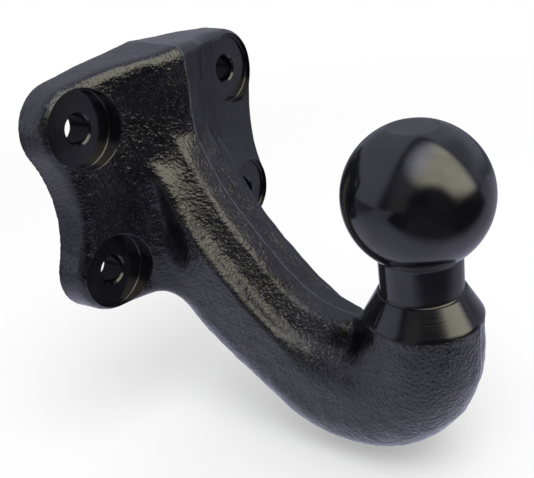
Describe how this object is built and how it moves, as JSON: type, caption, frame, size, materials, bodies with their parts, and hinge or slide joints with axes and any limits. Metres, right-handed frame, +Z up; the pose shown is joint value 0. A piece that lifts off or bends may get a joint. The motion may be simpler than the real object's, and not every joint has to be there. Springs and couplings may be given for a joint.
{
  "type": "flange tow ball",
  "caption": "Drop-forged flange tow ball in black: a thick flange with counterbored bolt holes, a ridged swan neck and a turned 50 mm ball.",
  "frame": {"origin": "middle of the bolt pattern on the flange's mounting face", "axes": "+Z up along the ball's axis, +Y out of the mounting face towards the vehicle, X across the vehicle; the ball lies towards -Y"},
  "size_m": [0.117, 0.1446, 0.1557],
  "materials": {
    "forged_black": "glossy black paint over forged skin",
    "turned_black": "glossy black paint over turned metal"
  },
  "bodies": {
    "root": {"mounting_flange": "forged_black", "swan_neck_arm": "forged_black", "elbow_knuckle": "forged_black", "ball_neck": "turned_black", "tow_ball": "turned_black"}
  },
  "joints": []
}
